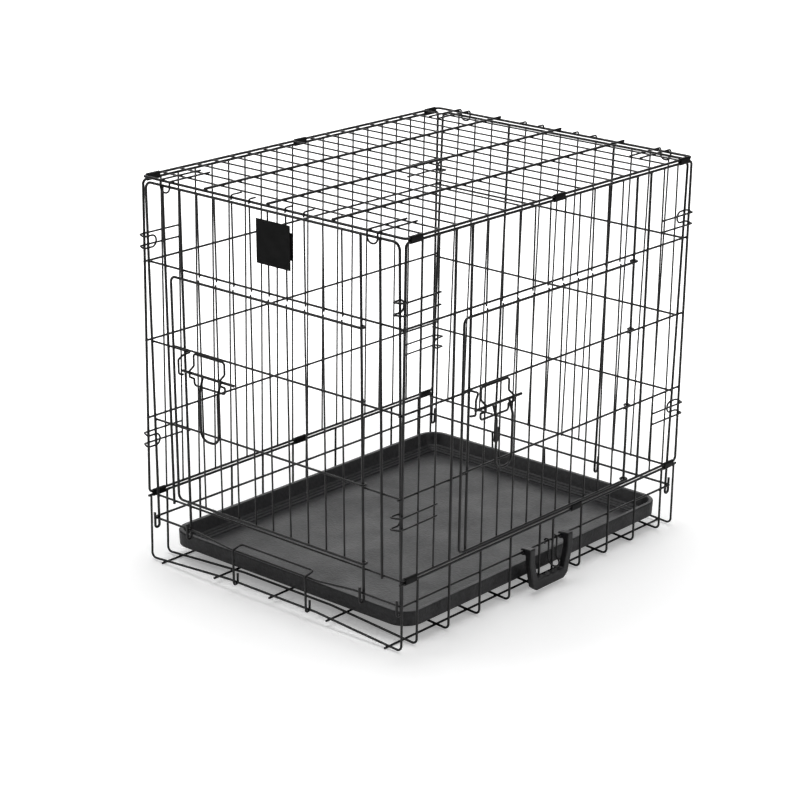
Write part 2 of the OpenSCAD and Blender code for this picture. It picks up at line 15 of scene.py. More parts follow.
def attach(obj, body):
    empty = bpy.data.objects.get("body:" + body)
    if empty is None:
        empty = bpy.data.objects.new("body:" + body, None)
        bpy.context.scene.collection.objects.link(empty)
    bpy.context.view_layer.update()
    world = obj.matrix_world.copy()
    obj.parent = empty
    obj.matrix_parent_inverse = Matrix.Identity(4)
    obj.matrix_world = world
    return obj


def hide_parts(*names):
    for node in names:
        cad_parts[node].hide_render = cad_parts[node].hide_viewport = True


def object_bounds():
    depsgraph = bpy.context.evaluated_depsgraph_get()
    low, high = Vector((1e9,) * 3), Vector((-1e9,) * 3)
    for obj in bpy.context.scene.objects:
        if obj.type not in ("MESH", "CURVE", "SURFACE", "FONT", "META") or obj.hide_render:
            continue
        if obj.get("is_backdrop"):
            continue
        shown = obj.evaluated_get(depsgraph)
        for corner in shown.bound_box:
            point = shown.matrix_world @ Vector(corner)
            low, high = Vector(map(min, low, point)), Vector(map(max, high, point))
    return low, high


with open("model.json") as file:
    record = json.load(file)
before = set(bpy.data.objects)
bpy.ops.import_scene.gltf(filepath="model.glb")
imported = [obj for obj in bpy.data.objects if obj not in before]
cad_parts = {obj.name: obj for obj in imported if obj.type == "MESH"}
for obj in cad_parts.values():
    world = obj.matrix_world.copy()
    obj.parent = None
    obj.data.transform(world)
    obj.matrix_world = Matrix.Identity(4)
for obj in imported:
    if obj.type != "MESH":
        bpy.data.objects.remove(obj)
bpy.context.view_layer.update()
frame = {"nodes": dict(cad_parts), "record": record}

# %% [markdown]
# ## Sizes
# All lengths below are millimetres, the unit such crates are drawn in, and turn to metres only
# when a mesh is made. The first lines are the sizes that the crate is ordered by. The rest follow
# from how the wires lie on each other: a rail on the inside of its frame, fill wires beside it.

# %% sizes of the crate
MM = 0.001
CRATE_W, CRATE_L, CRATE_H = 460.0, 625.0, 550.0
CATCH_REACH = 11.5      # how far the corner catches stand out past the side panels' ends
FRAME_D, RAIL_D, FILL_D, HOOP_D, HOOK_D = 3.6, 3.0, 2.4, 3.2, 2.6
BOLT_D, GRIP_D = 4.0, 3.5
# how far crossing wires and wires side by side are pressed together, and the play of moving ones
WELD, SEAM, PLAY = 0.1, 0.03, 0.4
# how far the cut end of a fill wire, a jamb and a cross wire sinks into the wire it meets
BUTT, JAMB_BUTT, CROSS_BUTT = 0.2, 0.15, 0.3
LAP = 3                 # a wire that stops at one that crosses it runs this far past it
KEEPER_ROOT, KEEPER_IN = 1.0, 7.0
FRAME_BEND, SIDE_SPACES, END_SPACES = 6.0, 19, 14
RIM_Z, RING_Z, RING_DIP, RING_INSET = 95.0, 62.5, 6.5, 6
ARCH_Z, ARCH_HALF = 13.0, 80.0
RUNNERS = [-204.0, -103.0, 0.0, 103.0, 204.0]
HOOP_INSET, HOOP_MID, HOOP_PAIR = 3, 29.0, 30
END_PITCH, END_SILL, END_HEAD, END_HEAD_GAP = 31.5, 93.5, 110, 5.4
HINGE_SPACES = 5        # the front door's jambs stand this many pitches from the middle
LEAN = math.radians(1.5)
CLIP_PITCH = 4.9        # between the two wires in a hinge clip
CATCH_LIFT = 0.05       # the catches are pressed in this much less than a weld
GRIP_OUT = 14.0         # the bolts' handles hang this far out of the jambs' plane
# half of the straight at the nose of a thin hairpin and of a bolt's handle, and the straight
# that a hook's two bends leave between them
HAIRPIN_FLAT, GRIP_FLAT, SLACK = 0.5, 3, 0.3

side_x = CRATE_W / 2 - FRAME_D / 2
end_y = CRATE_L / 2 - CATCH_REACH
roof_z = CRATE_H - FRAME_D * 1.5 + WELD
side_top, side_bot = roof_z - CLIP_PITCH, RIM_Z + CLIP_PITCH
side_step = (side_top - side_bot) / 4
side_pitch = 2 * end_y / SIDE_SPACES
rail_in = (FRAME_D + RAIL_D) / 2 - WELD
fill_in = rail_in - (RAIL_D + FILL_D) / 2 + WELD
ring_x, ring_y = side_x - HOOP_D + WELD, end_y - RING_INSET
hoop_end = end_y - HOOP_INSET
runner_drop = (HOOP_D + RAIL_D) / 2 - WELD
arch_run = side_x - ARCH_HALF
arch_share = (side_x - RUNNERS[-1]) / arch_run
hoop_z0 = (RAIL_D / 2 + runner_drop - arch_share * ARCH_Z) / (1 - arch_share)
hook_r = HOOP_D / 2 + PLAY + FRAME_D / 2
end_top = roof_z - END_HEAD_GAP - RING_Z
end_x = END_PITCH * END_SPACES / 2
front_hinge = HINGE_SPACES * END_PITCH
end_step = (end_top - END_HEAD - END_SILL + RING_Z) / 3
end_rail = [END_SILL - RING_Z + i * end_step for i in range(4)]
frame_out = FRAME_D + PLAY
door_fill_out = frame_out - (FRAME_D + FILL_D) / 2 + WELD
rail_out = door_fill_out + (FILL_D + RAIL_D) / 2 - WELD
bolt_out = frame_out + FRAME_D / 2 + PLAY + BOLT_D / 2
nose_out = bolt_out + BOLT_D / 2 + PLAY + RAIL_D / 2
reach_right = side_x + GRIP_OUT + GRIP_D / 2
reach_left = side_x + FRAME_D / 2 + HOOK_D - WELD + CATCH_LIFT
mid_x = (reach_right - reach_left) / 2
print(f"panel planes at x {side_x:.1f}, y {end_y:.1f}, roof at z {roof_z:.1f} mm")


# %% [markdown]
# ## Where the panels stand
# Each panel is drawn flat, with x to the right, y into the crate and z up, and a matrix puts it
# in its place. The end panels lean out a little, because they hang on the ring wire of the base
# and lie against the roof's end wire.

# %% places of the panels
SEAT = Matrix.Translation((-mid_x, 0, 0))
FRONT = SEAT @ Matrix.Translation((0, -ring_y, RING_Z)) @ Matrix.Rotation(LEAN, 4, "X")
REAR = SEAT @ Matrix.Translation((0, ring_y, RING_Z)) @ Matrix.Rotation(math.pi, 4, "Z") \
    @ Matrix.Rotation(LEAN, 4, "X")
RIGHT = SEAT @ Matrix.Translation((side_x, 0, 0)) @ Matrix.Rotation(math.pi / 2, 4, "Z")
LEFT = SEAT @ Matrix.Translation((-side_x, 0, 0)) @ Matrix.Rotation(-math.pi / 2, 4, "Z")
FRONT_DOOR = FRONT @ Matrix.Translation((0, hook_r, 0))
bodies = frame["record"]["behaviour"]["bodies"]
body_of = {node: body for body, nodes in bodies.items() for node in nodes}
print("nodes", len(body_of), "on bodies", len(bodies))

# %% [markdown]
# ## A list of wires
# Every wire is a list of corner points with a bend radius at each corner, as a wire bender is
# told. Bevelled curves, drawn one by one, would give the same tubes. A list is shorter, repeats
# and mirrors easily, and lets one tree below make every tube. It is kept by node, so that the
# imported nodes that each body's tubes replace can be hidden.

# %% the wire list
wires = {}


def wire(node, points, d, bend=0.0, closed=False, at=SEAT):
    """Adds one wire to a node: its corner points, its gauge, and one bend radius or one a point."""
    bends = list(bend) if isinstance(bend, (list, tuple)) else [bend] * len(points)
    spots = [at @ Vector(p) for p in points]
    wires.setdefault(node, []).append((spots, bends, d, closed))


def mirrored(points, centre=0.0):
    """A path, then its mirror image in x, as for a hairpin."""
    return points + [(2 * centre - x, y, z) for x, y, z in reversed(points)]


def both(bends):
    """The bends of a mirrored path."""
    return bends + bends[::-1]


print("bends 0, 4, 8 mirrored:", both([0, 4, 8]))

# %% [markdown]
# ## The base
# Twelve hoops make the floor and the low walls. Each is a U whose floor rises to the middle, so
# that the tray stands clear of the ground. Five runners lie under them, and a ring wire inside
# the hoops carries the end panels, the handle and the tray gate.

# %% base wires
# how far the runners and rims run past the last hoop and the side panels, and the bend radii
RUNNER_PAST, RIM_PAST = 4.6, 1.5
HOOP_KNEE, HOOP_FOOT, RING_CORNER, RING_SLOPE = 30, 7, 2.7, 20
hoop_step = (hoop_end - HOOP_PAIR - HOOP_MID / 2) / 4
hoop_y = [HOOP_MID / 2 + i * hoop_step for i in range(5)] + [hoop_end]
rim_foot = RIM_Z - FRAME_D / 2 + WELD
for y in [s * v for v in hoop_y for s in (-1, 1)]:
    half = [(-side_x, y, rim_foot), (-side_x, y, hoop_z0), (-ARCH_HALF, y, ARCH_Z)]
    wire("base_hoops", mirrored(half), HOOP_D, both([0, HOOP_FOOT, HOOP_KNEE]))


def hoop_z(x):
    """Height of a hoop's floor at this place across the crate."""
    if abs(x) <= ARCH_HALF:
        return ARCH_Z
    return hoop_z0 + (ARCH_Z - hoop_z0) * (side_x - abs(x)) / arch_run


for x in RUNNERS:
    z = hoop_z(x) - runner_drop
    wire("base_runners", [(x, -hoop_end - RUNNER_PAST, z), (x, hoop_end + RUNNER_PAST, z)], RAIL_D)
DIP_FROM_HINGE = 12
dip_start = front_hinge - DIP_FROM_HINGE
dip = [(-dip_start, -ring_y, RING_Z), (-ARCH_HALF, -ring_y, RING_Z - RING_DIP)]
wire("base_ring", [(-ring_x, -ring_y, RING_Z)] + mirrored(dip)
     + [(ring_x, -ring_y, RING_Z), (ring_x, ring_y, RING_Z), (-ring_x, ring_y, RING_Z)],
     HOOP_D, [RING_CORNER] + [RING_SLOPE] * 4 + [RING_CORNER] * 3, closed=True)
rim_end = end_y + RIM_PAST
for s in (-1, 1):
    wire("base_rims", [(s * side_x, -rim_end, RIM_Z), (s * side_x, rim_end, RIM_Z)], FRAME_D)
STOP_X, STOP_LOW, STOP_HIGH = 100, 1.5, 2
stop_in = (HOOP_D + RAIL_D) / 2 - WELD
for x in (-STOP_X, 0, STOP_X):
    stop = [(x, hoop_end - stop_in, hoop_z(x) - STOP_LOW),
            (x, ring_y - stop_in, RING_Z + STOP_HIGH)]
    wire("tray_stops", stop, RAIL_D)
print("base wires", sum(len(wires[n]) for n in wires))

# %% [markdown]
# ## The side panels
# A side panel is a rounded frame with three rails on its inside, whose cut ends stand out past
# the frame, and upright fill wires between the frame's top and bottom. The right one leaves a
# doorway between two thick jamb wires, so its two lower rails stop short there.

# %% side panel wires
RAIL_PAST, SIDE_HINGE_SPACES = 4.5, 5.5
foot, head = side_bot + FRAME_D / 2 - BUTT, side_top - FRAME_D / 2 + BUTT
rail_end = end_y + RAIL_PAST
side_hinge = side_pitch * SIDE_HINGE_SPACES


def side_at(k):
    """Place of a fill wire along a side panel."""
    return -end_y + k * side_pitch


def side_rail(i):
    """Height of a rail of a side panel."""
    return side_bot + i * side_step


for name, at in (("left", LEFT), ("right", RIGHT)):
    wire(f"{name}_frame", [(-end_y, 0, side_bot), (end_y, 0, side_bot), (end_y, 0, side_top),
                           (-end_y, 0, side_top)], FRAME_D, FRAME_BEND, closed=True, at=at)
    for i in (1, 2, 3):
        z = side_rail(i)
        runs = [(-rail_end, rail_end)] if name == "left" or i == 3 else \
            [(-rail_end, -side_hinge + KEEPER_ROOT), (side_hinge - LAP, rail_end)]
        for x0, x1 in runs:
            wire(f"{name}_rails", [(x0, rail_in, z), (x1, rail_in, z)], RAIL_D, at=at)
    for k in range(1, SIDE_SPACES):
        jamb = name == "right" and k in (3, 4, SIDE_SPACES - 4, SIDE_SPACES - 3)
        over_door = name == "right" and 5 <= k <= SIDE_SPACES - 5
        low = side_rail(3) - LAP if over_door else foot
        y, d, node = (0, FRAME_D, "right_jambs") if jamb else (fill_in, FILL_D, f"{name}_uprights")
        wire(node, [(side_at(k), y, low), (side_at(k), y, head)], d, at=at)
print("side wires", sum(len(wires[n]) for n in wires if n.startswith(("left", "right"))))

# %% [markdown]
# ## The roof
# The roof is a frame with eighteen cross wires and three long rods welded on top. Hairpins and
# small hooks at both ends reach over the end wire and hold the tops of the end panels.

# %% roof wires
wire("roof_frame", [(-side_x, -end_y, roof_z), (side_x, -end_y, roof_z), (side_x, end_y, roof_z),
                    (-side_x, end_y, roof_z)], FRAME_D, FRAME_BEND, closed=True)
cross_z = roof_z + (FRAME_D - FILL_D) / 2
cross_x = side_x - FRAME_D / 2 + CROSS_BUTT
for k in range(1, SIDE_SPACES):
    wire("roof_wires", [(-cross_x, side_at(k), cross_z), (cross_x, side_at(k), cross_z)], FILL_D)
ROOF_ROD_X, ROOF_ROD_PAST = 111, 2.5
rod_y, rod_z = end_y + ROOF_ROD_PAST, roof_z + FRAME_D - WELD
for x in (-ROOF_ROD_X, 0, ROOF_ROD_X):
    wire("roof_rods", [(x, -rod_y, rod_z), (x, rod_y, rod_z)], FRAME_D)
HOOK_HALF, HOOK_REACH, HOOK_DROP, HOOK_TAIL, HOOK_GAP = 8.5, 6.6, 13, 3.5, 0.5
hook_x = 6 * END_PITCH - HOOK_HALF - HOOK_GAP
hook_z = roof_z + (FRAME_D + HOOK_D) / 2 - WELD
hook_y, tail_y = end_y + HOOK_REACH, side_at(SIDE_SPACES - 2) - HOOK_TAIL
CURL_LONG, CURL_SHORT, CURL_PAST, CURL_BEND = 19, 12, 0.6, 3.2
curl_y, curl_z = end_y + (FRAME_D + FILL_D) / 2 - WELD, CRATE_H - FILL_D / 2
for s in (-1, 1):
    for x in (-hook_x, hook_x):
        leg = [(x - HOOK_HALF, s * tail_y, hook_z), (x - HOOK_HALF, s * hook_y, hook_z),
               (x - HOOK_HALF, s * hook_y, roof_z - HOOK_DROP)]
        wire("roof_hooks", mirrored(leg, x), HOOK_D, both([0, 4, HOOK_HALF - HAIRPIN_FLAT]))
    for k in (-2, -1, 1, 2):
        x, y, tail = k * END_PITCH, s * curl_y, CURL_LONG if abs(k) == 2 else CURL_SHORT
        curl = [(x, y, roof_z - FRAME_D / 2 - CURL_PAST), (x, y, curl_z), (x, y - s * tail, curl_z)]
        wire("roof_curls", curl, FILL_D, CURL_BEND)
print("roof wires", sum(len(wires[n]) for n in wires if n.startswith("roof")))

# %% [markdown]
# ## Corner catches
# Eight thin hairpins reach round the corners. Each leaves an open slot that the end panel's
# corner wire springs into when the crate is set up.

# %% corner catch wires
CATCH_H, CATCH_Z = 16, (171, 450)
CATCH_GAP, CATCH_ROOT, CATCH_KNEE, CATCH_BACK = 0.45, 2, 5, 21
NOSE_CUT = 1.27         # the nose is rounded, so its corner point lies this far past it
catch_root = side_x + FILL_D / 2 - fill_in + HOOK_D / 2 - WELD
catch_in = end_x - (FRAME_D + HOOK_D) / 2 - CATCH_GAP
catch_out = side_x + (FRAME_D + HOOK_D) / 2 - WELD + CATCH_LIFT
nose = CRATE_L / 2 - HOOK_D / 2
for z in CATCH_Z:
    for sx in (-1, 1):
        for sy in (-1, 1):
            plan = [(catch_root, side_at(2) + CATCH_ROOT), (catch_out, -end_y - CATCH_KNEE),
                    (catch_in, -nose - NOSE_CUT), (catch_in, -nose + CATCH_BACK)]
            low = [(sx * x, -sy * y, z) for x, y in plan]
            high = [(x, y, z + CATCH_H) for x, y, z in reversed(low)]
            wire("corner_catches", low + high, HOOK_D,
                 both([0, 4, 3, CATCH_H / 2 - HAIRPIN_FLAT]))
print("catches", len(wires["corner_catches"]))

# %% [markdown]
# ## The end panels
# Both end panels hang on the ring wire by hooks bent on their thickest uprights. The front one
# carries the door's jambs and a bare plate; the rear one is plain.

# %% end panel wires
HOOK_LOW, HOOK_TIP, END_BEND, END_RAIL_PAST = 13.5, 9, 10, 2
hook_bend = hook_r - SLACK
jamb_head, fill_head = end_top - FRAME_D / 2 + JAMB_BUTT, end_top - FRAME_D / 2 + BUTT
reach = end_x + END_RAIL_PAST


def hooked(x, top):
    """An upright of an end panel, from the tip of its hook round the ring wire and up."""
    return [(x, -hook_r, HOOK_TIP), (x, -hook_r, -HOOK_LOW),
            (x, hook_r, -HOOK_LOW), (x, hook_r, top)]


for name, at in (("front", FRONT), ("rear", REAR)):
    wire(f"{name}_frame", mirrored(hooked(-end_x, end_top)), FRAME_D,
         both([0, hook_bend, hook_bend, END_BEND]), at=at)
    for k in ([-HINGE_SPACES, HINGE_SPACES] if name == "front" else [-3, 3]):
        wire(f"{name}_jambs", hooked(k * END_PITCH, jamb_head), FRAME_D, hook_bend, at=at)
    for i, z in enumerate(end_rail):
        runs = [(-reach, reach)] if name == "rear" or i in (0, 3) else \
            [(-reach, -front_hinge + KEEPER_ROOT), (front_hinge - LAP, reach)]
        for x0, x1 in runs:
            rail = [(x0, hook_r + rail_in, z), (x1, hook_r + rail_in, z)]
            wire(f"{name}_rails", rail, RAIL_D, at=at)
    for k in range(-6, 7):
        if name == "rear" and abs(k) != 3 or name == "front" and abs(k) <= 4:
            x, y, z = k * END_PITCH, hook_r + fill_in, end_rail[3 if name == "front" else 0] - LAP
            wire(f"{name}_uprights", [(x, y, z), (x, y, fill_head)], FILL_D, at=at)
for s in (-1, 1):
    x = s * (HINGE_SPACES + 1) * END_PITCH
    outer = [(x, hook_r, end_rail[0] - LAP), (x, hook_r, jamb_head)]
    wire("front_jambs", outer, FRAME_D, at=FRONT)
print("end wires", sum(len(wires[n]) for n in wires if n.startswith(("front", "rear"))))

# %% [markdown]
# ## Doors and bolts
# A door's frame and rails end in eyes that turn on the jamb wire. A loop under the upper rail
# guides the bolt, which is one rod with a hairpin handle. A keeper hook on the panel holds the
# bolt's nose. Both doors use the same parts, so one function draws them.

# %% door wires
BOLT_DZ, BOLT_NOSE, BOLT_TAIL = 29.0, 16.5, 21
GUIDE_W, GUIDE_H, GUIDE_FROM_JAMB = 57.0, 44.0, 20
GRIP_W, GRIP_DROP, DOOR_LAP = 33.0, 88.0, 17.5
DOOR_STEP = 5.5         # rise of a door's rails above the panel's
FRONT_DOOR_GAP, SIDE_DOOR_GAP, SIDE_DOOR_HEAD_GAP = 9.5, 6.2, 8.2
DOOR_BEND, FILL_PAST_LOW, FILL_PAST_HIGH = 8, 0.6, 1.2
EYE_STEP, EYE_TURN = 15, 240    # degrees of one step and of the whole eye
# half heights of the guide's bow where it leaves the door and at its nose, and its small bends
BOW_ROOT, BOW_NOSE, BOW_BEND, GUIDE_BEND = 9, 4, 2.2, 4
GRIP_GAP, GRIP_KNEE, GRIP_BEND = 0.35, 20, 8
# the keeper reaches this far past the bolt's line, slopes down this much, leans this far past
# the jamb, turns in this far below the bolt, and ends there
KEEPER_OVER, KEEPER_SHOULDER, KEEPER_TIP_IN = 1.5, 8, 0.5
KEEPER_FOOT, KEEPER_END, KEEPER_END_OUT = 4.5, 7.5, 4


def eye(x, z, out):
    """Points of an eye round the hinge wire, after a rail that arrives at its outside."""
    turns = [math.radians(a - 90) for a in range(EYE_STEP, EYE_TURN + 1, EYE_STEP)]
    return [(x + out * math.cos(a), out * math.sin(a), z) for a in turns]


def door(name, hinge, z0, z1, rails, fills, keeper_z, at):
    """One door with its guide, bolt, handle and keeper."""
    lap = -hinge - DOOR_LAP
    low = list(reversed(eye(hinge, z0, frame_out))) + [(hinge, -frame_out, z0)]
    high = [(hinge, -frame_out, z1)] + eye(hinge, z1, frame_out)
    wire(f"{name}_door_frame", low + [(lap, -frame_out, z0), (lap, -frame_out, z1)] + high, FRAME_D,
         [0] * len(low) + [DOOR_BEND] * 2 + [0] * len(high), at=at)
    for z in rails:
        start = [(lap + FRAME_D / 2 - CROSS_BUTT, -rail_out, z), (hinge, -rail_out, z)]
        wire(f"{name}_door_rails", start + eye(hinge, z, rail_out), RAIL_D, at=at)
    for x in fills:
        fill = [(x, -door_fill_out, z0 - FRAME_D / 2 - FILL_PAST_LOW),
                (x, -door_fill_out, z1 + FRAME_D / 2 + FILL_PAST_HIGH)]
        wire(f"{name}_door_uprights", fill, FILL_D, at=at)
    x0, z, zb = -hinge + GUIDE_FROM_JAMB, rails[1] - RAIL_D + SEAM, rails[1] - BOLT_DZ
    zc = z - BOLT_DZ + RAIL_D
    side = [(-rail_out, z), (-rail_out, zc + BOW_ROOT), (-nose_out, zc + BOW_NOSE),
            (-nose_out, zc - BOW_NOSE), (-rail_out, zc - BOW_ROOT), (-rail_out, z - GUIDE_H)]
    loop = [(x0, y, h) for y, h in reversed(side)] + [(x0 + GUIDE_W, y, h) for y, h in side]
    wire(f"{name}_guide", loop, RAIL_D, both([GUIDE_BEND] + [BOW_BEND] * 4 + [GUIDE_BEND]),
         closed=True, at=at)
    rod = [(x0 - BOLT_NOSE, -bolt_out, zb), (x0 + GUIDE_W + BOLT_TAIL, -bolt_out, zb)]
    wire(f"{name}_bolt", rod, BOLT_D, at=at)
    xg = x0 + GUIDE_W - (RAIL_D + GRIP_D) / 2 - PLAY - GRIP_W
    leg = [(xg, -bolt_out, zb - BOLT_D / 2 - GRIP_GAP), (xg, -GRIP_OUT, zb - GRIP_KNEE),
           (xg, -GRIP_OUT, zb - GRIP_DROP)]
    wire(f"{name}_grip", mirrored(leg, xg + GRIP_W / 2), GRIP_D,
         both([0, GRIP_BEND, GRIP_W / 2 - GRIP_FLAT]), at=at)
    # the keeper goes on from the cut rail, comes out past the bolt and hooks down over its nose
    tip, turn = -hinge - KEEPER_TIP_IN, -hinge + KEEPER_IN
    hook = [(-hinge + KEEPER_ROOT, rail_in, keeper_z), (turn, rail_in, keeper_z),
            (turn, -bolt_out - KEEPER_OVER, keeper_z), (tip, -nose_out, keeper_z - KEEPER_SHOULDER),
            (tip, -nose_out, zb - KEEPER_FOOT), (tip, -KEEPER_END_OUT, zb - KEEPER_END)]
    wire(f"{name}_keeper", hook, RAIL_D, [0, 3, 3, 4, 3, 0], at=at)


door("front", front_hinge, end_rail[0] + FRONT_DOOR_GAP, end_rail[3] - FRONT_DOOR_GAP,
     [end_rail[1] + DOOR_STEP, end_rail[2] + DOOR_STEP],
     [k * END_PITCH for k in range(-4, 5)], end_rail[2], FRONT_DOOR)
door("side", side_hinge, side_bot + SIDE_DOOR_GAP, side_rail(3) - SIDE_DOOR_HEAD_GAP,
     [side_rail(1) + DOOR_STEP, side_rail(2) + DOOR_STEP],
     [side_at(k) for k in range(5, SIDE_SPACES - 4)], side_rail(2), RIGHT)
print("door wires", sum(len(wires[n]) for n in wires if "_door_" in n))

# %% [markdown]
# ## Tray gate and case catch
# The gate keeps the tray in. It turns on the front hoop and leans over the dipped ring. The case
# catch beside the carry handle straddles a hoop and holds the folded crate shut.

# %% gate and catch wires
GATE_HALF, GATE_RISE, GATE_TAIL, GATE_IN = 66, 8, 11, 11
GATE_LEAN, GATE_SHOULDER = 1.5, 3.5
CASE_HALF, CASE_TIP, CASE_LEG, CASE_FOOT, CASE_FLARE = 9, 5, 27, 36, 9
gate_r = HOOP_D + PLAY
gate_top = RING_Z - RING_DIP + GATE_RISE
# each is drawn on one side as (across, up) points and mirrored
gate_path = [(gate_r, ARCH_Z + GATE_TAIL), (gate_r, ARCH_Z - gate_r), (-gate_r, ARCH_Z - gate_r),
             (-gate_r - GATE_LEAN, gate_top - GATE_SHOULDER), (GATE_IN, gate_top)]
gate = [(-GATE_HALF, -hoop_end + y, z) for y, z in gate_path]
wire("tray_gate", mirrored(gate), HOOP_D, both([0, gate_r - SLACK, gate_r - SLACK, 4, 5]))
case_r = (HOOP_D + HOOK_D) / 2 + PLAY
case_path = [(-case_r, -CASE_TIP), (-case_r, case_r), (case_r, case_r), (case_r, -CASE_LEG),
             (case_r + CASE_FLARE, -CASE_FOOT)]
one = [(ring_x + x, hoop_y[0] - CASE_HALF, RING_Z + z) for x, z in case_path]
two = [(x, hoop_y[0] + CASE_HALF, z) for x, y, z in reversed(one)]
wire("case_catch", one + two, HOOK_D, both([0, case_r - SLACK, case_r - SLACK, 5, 8.7]))
print("nodes drawn as wire", len(wires), "wires", sum(len(w) for w in wires.values()))


# %% [markdown]
# ## Materials
# Three finishes cover the crate. The wire has a black powder coat over steel: satin, with a faint
# orange peel from the powder melting. The clips and the plate are sheet steel under the same
# coat. The tray and the handle are black polyethylene, moulded with a leather grain. All of them
# are procedural, on object coordinates, so a pattern keeps its real size and moves with its piece.

# %% material helpers
def linear(code):
    """A six-digit sRGB hex colour as linear RGBA."""
    parts = [int(code[i:i + 2], 16) / 255 for i in (0, 2, 4)]
    return [c / 12.92 if c <= 0.04045 else ((c + 0.055) / 1.055) ** 2.4 for c in parts] + [1.0]


def add(tree, kind, inputs=None, **settings):
    """Adds a node. inputs maps a socket's name or number to a value or to another node's output."""
    node = tree.nodes.new(kind)
    for key, value in settings.items():
        setattr(node, key, value)
    for key, value in (inputs or {}).items():
        if isinstance(value, bpy.types.NodeSocket):
            tree.links.new(value, node.inputs[key])
        else:
            node.inputs[key].default_value = value
    return node


def per_mm(size):
    """Noise scale for features of this size in millimetres, as object coordinates are metres."""
    return 1 / (size * MM)


NOISE_RANGE = {"From Min": 0.3, "From Max": 0.7}    # nearly all values of a noise lie in it
print("sRGB 808080 is", round(linear("808080")[0], 3), "linear")

# %% coat on wire and sheet
COAT_CLOUD_MM, PLASTIC_CLOUD_MM = 14, 60    # size of the soft patches in gloss and tone


def coat(name, colour, roughness, peel_mm, depth_mm, shine=0.5):
    """Black powder coat: satin, with slight cloudy changes in gloss and an orange peel.

    Real peel is finer than a wire is wide and hardly shows, so it is drawn shallow and no finer
    than about a millimetre: it only breaks up the highlight along a wire."""
    material = bpy.data.materials.new(name)
    material.use_nodes = True
    tree = material.node_tree
    shader = tree.nodes["Principled BSDF"]
    shader.inputs["Base Color"].default_value = linear(colour)
    shader.inputs["IOR"].default_value = 1.5
    shader.inputs["Specular IOR Level"].default_value = shine
    place = add(tree, "ShaderNodeTexCoord").outputs["Object"]
    cloud = add(tree, "ShaderNodeTexNoise",
                {"Vector": place, "Scale": per_mm(COAT_CLOUD_MM), "Detail": 3.0})
    gloss = add(tree, "ShaderNodeMapRange", {"Value": cloud.outputs[0], **NOISE_RANGE,
                "To Min": roughness - 0.06, "To Max": roughness + 0.08})
    tree.links.new(gloss.outputs[0], shader.inputs["Roughness"])
    peel = add(tree, "ShaderNodeTexNoise",
               {"Vector": place, "Scale": per_mm(peel_mm), "Detail": 2.0})
    bump = add(tree, "ShaderNodeBump",
               {"Height": peel.outputs[0], "Strength": 0.5, "Distance": depth_mm * MM})
    tree.links.new(bump.outputs[0], shader.inputs["Normal"])
    return material


# the plate and clips are pressed and look flatter than the wire; their coat is drawn darker than
# the wire's as painted shade, standing in for the dimmer light on the upright plate
wire_coat = coat("black_powder_coat_wire", "141415", 0.34, 1.4, 0.05)
sheet_coat_painted_shade = coat("black_powder_coat_sheet_painted_shade", "060607", 0.55, 1.1, 0.06, shine=0.22)
print("coats", wire_coat.name, sheet_coat_painted_shade.name)


# %% moulded polyethylene
def polyethylene(name, colours, grain_mm, depth_mm):
    """Black polyethylene, moulded with a leather grain, and faintly mottled with lighter specks.

    The tray's grain is drawn several times coarser and deeper than a real one, so that it shows
    from as far as the whole crate is seen. The handle's is finer and shallower."""
    material = bpy.data.materials.new(name)
    material.use_nodes = True
    tree = material.node_tree
    shader = tree.nodes["Principled BSDF"]
    shader.inputs["IOR"].default_value = 1.5
    place = add(tree, "ShaderNodeTexCoord").outputs["Object"]
    cloud = add(tree, "ShaderNodeTexNoise",
                {"Vector": place, "Scale": per_mm(PLASTIC_CLOUD_MM), "Detail": 4.0})
    tint = add(tree, "ShaderNodeMix",
               {0: cloud.outputs[0], 6: linear(colours[0]), 7: linear(colours[1])},
               data_type="RGBA")
    speck = add(tree, "ShaderNodeTexNoise",
                {"Vector": place, "Scale": per_mm(2 * grain_mm), "Detail": 3.0})
    shade = add(tree, "ShaderNodeMapRange",
                {"Value": speck.outputs[0], **NOISE_RANGE, "To Min": 0.45, "To Max": 1.45})
    mottled = add(tree, "ShaderNodeMix", {0: 1.0, 6: tint.outputs[2], 7: shade.outputs[0]},
                  data_type="RGBA", blend_type="MULTIPLY")
    tree.links.new(mottled.outputs[2], shader.inputs["Base Color"])
    gloss = add(tree, "ShaderNodeMapRange",
                {"Value": cloud.outputs[0], **NOISE_RANGE, "To Min": 0.42, "To Max": 0.56})
    tree.links.new(gloss.outputs[0], shader.inputs["Roughness"])
    cells = add(tree, "ShaderNodeTexVoronoi", {"Vector": place, "Scale": per_mm(grain_mm)},
                feature="SMOOTH_F1")
    bump = add(tree, "ShaderNodeBump", {"Height": cells.outputs["Distance"], "Strength": 0.6,
                                        "Distance": depth_mm * MM})
    tree.links.new(bump.outputs[0], shader.inputs["Normal"])
    return material


tray_plastic = polyethylene("black_polyethylene_tray", ("1a1a1c", "262628"), 2.6, 0.55)
# the handle's colours are drawn darker than the tray's as painted shade, standing in for the dimmer
# light on its upright faces
handle_plastic = polyethylene("black_polyethylene_handle", ("161618", "1e1e20"), 1.6, 0.12)
print("plastics", tray_plastic.name, handle_plastic.name)

# %% [markdown]
# ## From lists to tubes
# A Geometry Nodes tree turns the corner points into wire. The points are a mesh of edges, with
# each corner's bend radius and each wire's gauge kept as attributes. The tree makes curves of the
# edges, fillets the corners, sweeps a circle along them and closes the ends. The result is kept as
# one plain mesh for each body, because the bodies move apart and a modifier isn't exported.

# %% the bent wire tree
def sockets(tree, kind, *items):
    """Names a tree's inputs or outputs."""
    for name, socket in items:
        tree.interface.new_socket(name, in_out=kind, socket_type=socket)


